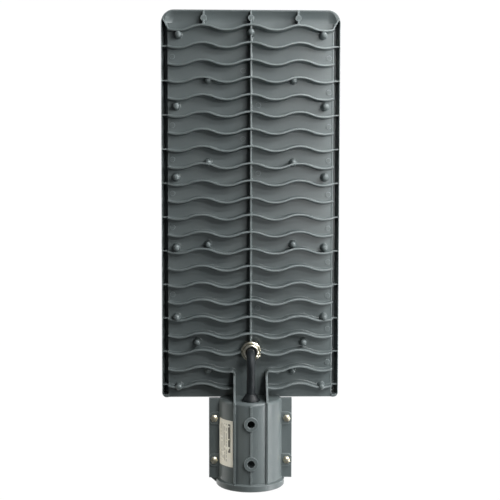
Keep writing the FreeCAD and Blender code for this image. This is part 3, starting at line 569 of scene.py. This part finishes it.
def boss_profile(foot, top, height, fillet=0.0007, edge=0.0027):
    """Rings of a cone, foot radius to top radius, with a fillet at its foot and a wide round on top."""
    quarter = [i * math.pi / 8 for i in range(5)]
    low = [(foot + fillet * (1 - math.sin(a)), fillet * (1 - math.cos(a))) for a in quarter]
    high = [(top - edge * (1 - math.cos(a)), height - edge * (1 - math.sin(a))) for a in quarter]
    return [(r, h + PLATE_Z) for r, h in low + high]


EDGE_BOSS_X = 0.0798
END_BOSS_X = 0.0775
EDGE_BOSS_Y = 0.1062
EDGE_BOSS_STEP = 0.0757
EDGE_BOSS_ROWS = 6
TOP_BOSS_Y = 0.487
BOARD_BOSS_X = 0.0457
BOARD_BOSS_ROWS = (0.261, 0.349, 0.437)
DRIVER_BOSS_X = 0.0576
DRIVER_BOSS_Y = 0.1547
INNER_BOSS_X = 0.046
INNER_BOSS_Y = 0.1231


def both_sides(x, y):
    return [(-x, y, 0.0), (x, y, 0.0)]


def bosses():
    edge_places = []
    for k in range(EDGE_BOSS_ROWS):
        x = END_BOSS_X if k in (0, EDGE_BOSS_ROWS - 1) else EDGE_BOSS_X
        edge_places += both_sides(x, EDGE_BOSS_Y + k * EDGE_BOSS_STEP)
    board_places = [(side * BOARD_BOSS_X, y, 0.0) for side in (-1, 1) for y in BOARD_BOSS_ROWS]
    groups = [
        (boss_profile(0.0042, 0.0034, 0.0115), edge_places),
        (boss_profile(0.0043, 0.0034, 0.0158), [(0.0, TOP_BOSS_Y, 0.0)]),
        (boss_profile(0.0041, 0.0032, 0.0120), board_places),
        (boss_profile(0.0041, 0.0032, 0.0113), both_sides(DRIVER_BOSS_X, DRIVER_BOSS_Y)),
        (boss_profile(0.0036, 0.0032, 0.0073), both_sides(INNER_BOSS_X, INNER_BOSS_Y)),
    ]
    return [spread("bosses", turned("boss", profile), places) for profile, places in groups]


boss_cones = join("boss_cones", bosses())
smooth(boss_cones, 60)
keep(boss_cones, "casting")


# Low round pads that the ejector pins leave on the plate

MARK_R = 0.0028
MARK_RISE = 0.0006
MARK_DRAFT = 0.0001
MARK_EDGE = 0.0004
MARK_SIDE_X = 0.0842
MARK_MIDDLE_X = 0.0082


def marks_at(x, drop, fin_numbers):
    """Places at x, each by drop below the line of a numbered fin."""
    return [(x, FIRST_FIN - i * FIN_PITCH - drop, 0.0) for i in fin_numbers]


def ejector_marks():
    top = PLATE_Z + MARK_RISE
    profile = [(MARK_R + MARK_DRAFT, PLATE_Z - MARK_RISE / 2), (MARK_R, top), (MARK_R - MARK_EDGE, top)]
    places = marks_at(MARK_SIDE_X, 0.0151, range(1, 20, 2))
    places += marks_at(-MARK_SIDE_X, 0.0140, (1, 5, 7, 9, 11, 15))
    places += marks_at(-MARK_MIDDLE_X, 0.0102, (2, 6))
    places += marks_at(MARK_MIDDLE_X, 0.0106, (4, 8, 16))
    return spread("ejector_marks", turned("mark", profile), places)


marks = ejector_marks()
smooth(marks, 30)
keep(marks, "casting")


# Rounded long edge of the plate, beside the trough that the light comes over

EDGE_ROUND = 0.0011
EDGE_RISE = 0.0004
EDGE_MIDDLE_X = 0.0881
EDGE_NEAR = 0.0985
EDGE_FAR = 0.4925
EDGE_SINK = 0.0105
EDGE_FLAT = 0.0012
EDGE_SLANT = 0.0003


def plate_edge():
    """A strip that lies on the plate and turns down into the trough."""
    middle = PLATE_Z + EDGE_RISE - EDGE_ROUND
    turn = [i * math.pi / 12 for i in range(7)]
    section = [(EDGE_MIDDLE_X - EDGE_FLAT, PLATE_Z - SKIN_GAP)]
    section += [(EDGE_MIDDLE_X + EDGE_ROUND * math.sin(a), middle + EDGE_ROUND * math.cos(a)) for a in turn]
    section.append((EDGE_MIDDLE_X + EDGE_ROUND + EDGE_SLANT, PLATE_Z - EDGE_SINK))
    rows = [[Vector((x, y, z)) for x, z in section] for y in (EDGE_NEAR, EDGE_FAR)]
    return sheet_of("plate_edge", rows)


edge_strip = plate_edge()
smooth(edge_strip)
keep(edge_strip, "casting")


# The cable gland: a plain stem, a hexagon, and a cap turned in rounded steps

STEM_R = 0.0080
STEM_LOW = -0.0161
HEX_R = 0.0117
HEX_LOW = -0.0066
CAP_R = 0.0112
CAP_LOW = -0.0011
CAP_FIRST_STEP = 0.0040
CAP_STEPS = 2
STEP_APART = 0.0026
STEP_WIDE = 0.0018
STEP_TALL = 0.0057
STEP_ROUND = 0.0026
STEP_SINK = 0.0004
LIP_R = 0.0060
MOUTH_R = 0.0052
MOUTH_SLANT = 0.0012
GLAND_LEAN = 0.0006


def rounded_step(outer, inner, low, high, steps=6):
    """Quarter of an ellipse, from the wall at outer up to the level at inner."""
    turn = [i * math.pi / 2 / steps for i in range(steps + 1)]
    return [(inner + (outer - inner) * math.cos(a), low + (high - low) * math.sin(a)) for a in turn]


def gland():
    stem = turned("stem", [(STEM_R, STEM_LOW), (STEM_R, HEX_LOW)])
    hexagon = turned("hexagon", [(HEX_R, HEX_LOW), (HEX_R, CAP_LOW)], 6)
    hexagon.data.transform(Matrix.Rotation(math.radians(30), 4, "Z"))
    profile = [(CAP_R, CAP_LOW)]
    for k in range(CAP_STEPS):
        outer = CAP_R - k * STEP_APART
        low = CAP_FIRST_STEP + k * STEP_TALL
        top = low + STEP_ROUND
        if k:
            profile.append((outer, low - STEP_TALL + STEP_ROUND - STEP_SINK))
        profile += rounded_step(outer, outer - STEP_WIDE, low, top)
    profile += [(LIP_R, top), (MOUTH_R, top - MOUTH_SLANT), (MOUTH_R, CAP_FIRST_STEP)]
    cap = turned("cap", profile, 64)
    whole = join("gland", [cap, hexagon, stem])
    whole.data.transform(Matrix.Translation((GLAND_LEAN, GLAND_Y + GLAND_LEAN, 0.0)))
    return whole


gland_look = gland()
smooth(gland_look, 35)
keep(gland_look, "nickel_brass")
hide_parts("gland_body", "gland_cap_nut")


# The grommet's skirt: a rim just wider than the solid's, and a short straight neck at its tip

GROMMET_Z = 0.0210
SKIRT_R = 0.0097
SKIRT_TIP_R = 0.0064
SKIRT_RIM_Y = 0.0964
SKIRT_TIP_Y = 0.1016
SKIRT_RIM_TALL = 0.0012
SKIRT_TIP_TALL = 0.0010


def grommet_skirt():
    profile = [(SKIRT_R, SKIRT_RIM_Y - SKIRT_RIM_TALL), (SKIRT_R, SKIRT_RIM_Y),
               (SKIRT_TIP_R, SKIRT_TIP_Y - SKIRT_TIP_TALL), (SKIRT_TIP_R, SKIRT_TIP_Y)]
    piece = turned("grommet_skirt", profile, 48)
    piece.data.transform(Matrix.Rotation(math.radians(-90), 4, "X"))
    piece.data.transform(Matrix.Translation((0.0, 0.0, GROMMET_Z)))
    return piece


skirt = grommet_skirt()
smooth(skirt, 40)
keep(skirt, "black_rubber")


# Stage and light

FLOOR_SIZE = 6.0
FLOOR_Y = 0.25
FLOOR_DROP = 0.0003
PAPER_GLOW = 1.03
PAPER_GLOW_SHARE = 0.98
SKY_COLOUR = (0.93, 0.97, 1.0, 1.0)
FILL = 0.008
GLOSS_FILL = 0.12
CARD_LEVEL = 0.9
CARD_WAY = (0.6, 0.69, 0.4)
CARD_STARTS = 0.55
CARD_FULL = 0.8
LIGHT_REACH = 0.8
LIGHT_CENTRE = Vector((0.0, 0.27, 0.0))
SOCKET_LAMP_SIZE = 0.06
SOCKET_LAMP_SPREAD = math.radians(30)


def ray_kinds(tree, *names):
    """1 for the kinds of ray named, 0 for the others."""
    rays = [add_node(tree, "ShaderNodeLightPath", {}, {}, "Is %s Ray" % name) for name in names]
    both = rays[0]
    for ray in rays[1:]:
        both = both.maths("MAXIMUM", both, ray)
    return both


def stage():
    bpy.ops.object.select_all(action="DESELECT")
    bpy.ops.mesh.primitive_plane_add(size=FLOOR_SIZE, location=(0.0, FLOOR_Y, FLOOR_Z - FLOOR_DROP))
    floor = bpy.context.view_layer.objects.active
    floor.name = "floor"
    paper = Finish("floor_paper", Roughness=0.9, Metallic=0.0)
    tone = paper.noise(30.0)
    paper.feed("Base Color", paper.ramp(tone, (0.3, rgb(148, 148, 148)), (0.7, rgb(154, 154, 154))))
    glow = paper.node("ShaderNodeEmission", None, {"Color": (1.0, 1.0, 1.0, 1.0), "Strength": PAPER_GLOW})
    factor = ray_kinds(paper.tree, "Camera", "Glossy", "Transmission") * PAPER_GLOW_SHARE
    base = Wire(paper.tree, paper.shader.outputs[0])
    both = paper.node("ShaderNodeMixShader", None, {0: factor, 1: base, 2: glow})
    paper.tree.links.new(both.socket, paper.tree.nodes["Material Output"].inputs["Surface"])
    floor.data.materials.append(paper.material)


def world():
    sky = bpy.data.worlds.new("studio")
    sky.use_nodes = True
    tree = sky.node_tree
    back = tree.nodes["Background"]
    shown = ray_kinds(tree, "Camera", "Transmission")
    mirrored = ray_kinds(tree, "Glossy")
    way = add_node(tree, "ShaderNodeTexCoord", {}, {}, "Generated")
    nearness = add_node(tree, "ShaderNodeVectorMath", {"operation": "DOT_PRODUCT"},
                        {0: way, 1: CARD_WAY}, "Value")
    stops = [(CARD_STARTS, rgb(0, 0, 0)), (CARD_FULL, rgb(255, 255, 255))]
    card = add_node(tree, "ShaderNodeValToRGB", {"stops": stops}, {0: nearness})
    level = FILL + shown * (1.0 - FILL) + mirrored * (GLOSS_FILL + CARD_LEVEL * card - FILL)
    tree.links.new(level.socket, back.inputs["Strength"])
    back.inputs["Color"].default_value = SKY_COLOUR
    bpy.context.scene.world = sky


def disk_lamp(name, place, toward, power, size):
    """A round lamp at place, with toward as the way from what it lights."""
    data = bpy.data.lights.new(name, "AREA")
    data.shape = "DISK"
    data.size = size
    data.energy = power
    seat = bpy.data.objects.new(name, data)
    seat.location = place
    seat.rotation_euler = toward.to_track_quat("Z", "Y").to_euler()
    bpy.context.scene.collection.objects.link(seat)
    return seat


def lamp(name, across, along, power, size):
    """A lamp that faces the panel from the way (across, along, 1)."""
    toward = Vector((across, along, 1.0)).normalized()
    disk_lamp(name, LIGHT_CENTRE + LIGHT_REACH * toward, toward, power, size)


def socket_lamp(name, place, aim, power, colour):
    """A weak lamp beside the pole socket, for the barrel's side, that no surface mirrors."""
    seat = disk_lamp(name, place, Vector(place) - Vector(aim), power, SOCKET_LAMP_SIZE)
    seat.data.color = colour
    seat.data.spread = SOCKET_LAMP_SPREAD
    seat.visible_glossy = False


stage()
world()
socket_lamp("socket_left", (-0.42, 0.02, 0.04), (-0.034, 0.045, 0.015), 0.025, (1.0, 0.95, 0.86))
socket_lamp("socket_right", (0.45, 0.03, -0.01), (0.034, 0.045, 0.01), 0.014, (1.0, 1.0, 1.0))
lamp("overhead", 0.25, 0.0, 0.52, 0.06)
lamp("overhead_far", 0.25, 0.35, 0.21, 0.06)
lamp("key_steep", 0.38, 0.35, 0.57, 0.07)
lamp("key_steep_far", 0.38, 0.70, 0.49, 0.08)
lamp("key", 0.60, 0.35, 0.91, 0.08)
lamp("key_far", 0.60, 0.70, 0.77, 0.10)
lamp("side", 1.10, 0.85, 1.25, 0.22)
lamp("far", 0.80, 2.20, 1.30, 0.25)
lamp("rake_far", 2.60, 2.20, 2.90, 0.20)
lamp("rake", 2.60, 1.10, 1.80, 0.20)
lamp("rake_near", 2.60, -1.0, 1.15, 0.15)
lamp("side_near", 1.10, -0.6, 0.55, 0.15)
lamp("rake_low", 3.70, -3.70, 1.75, 0.15)

bpy.context.scene.view_settings.view_transform = "Standard"
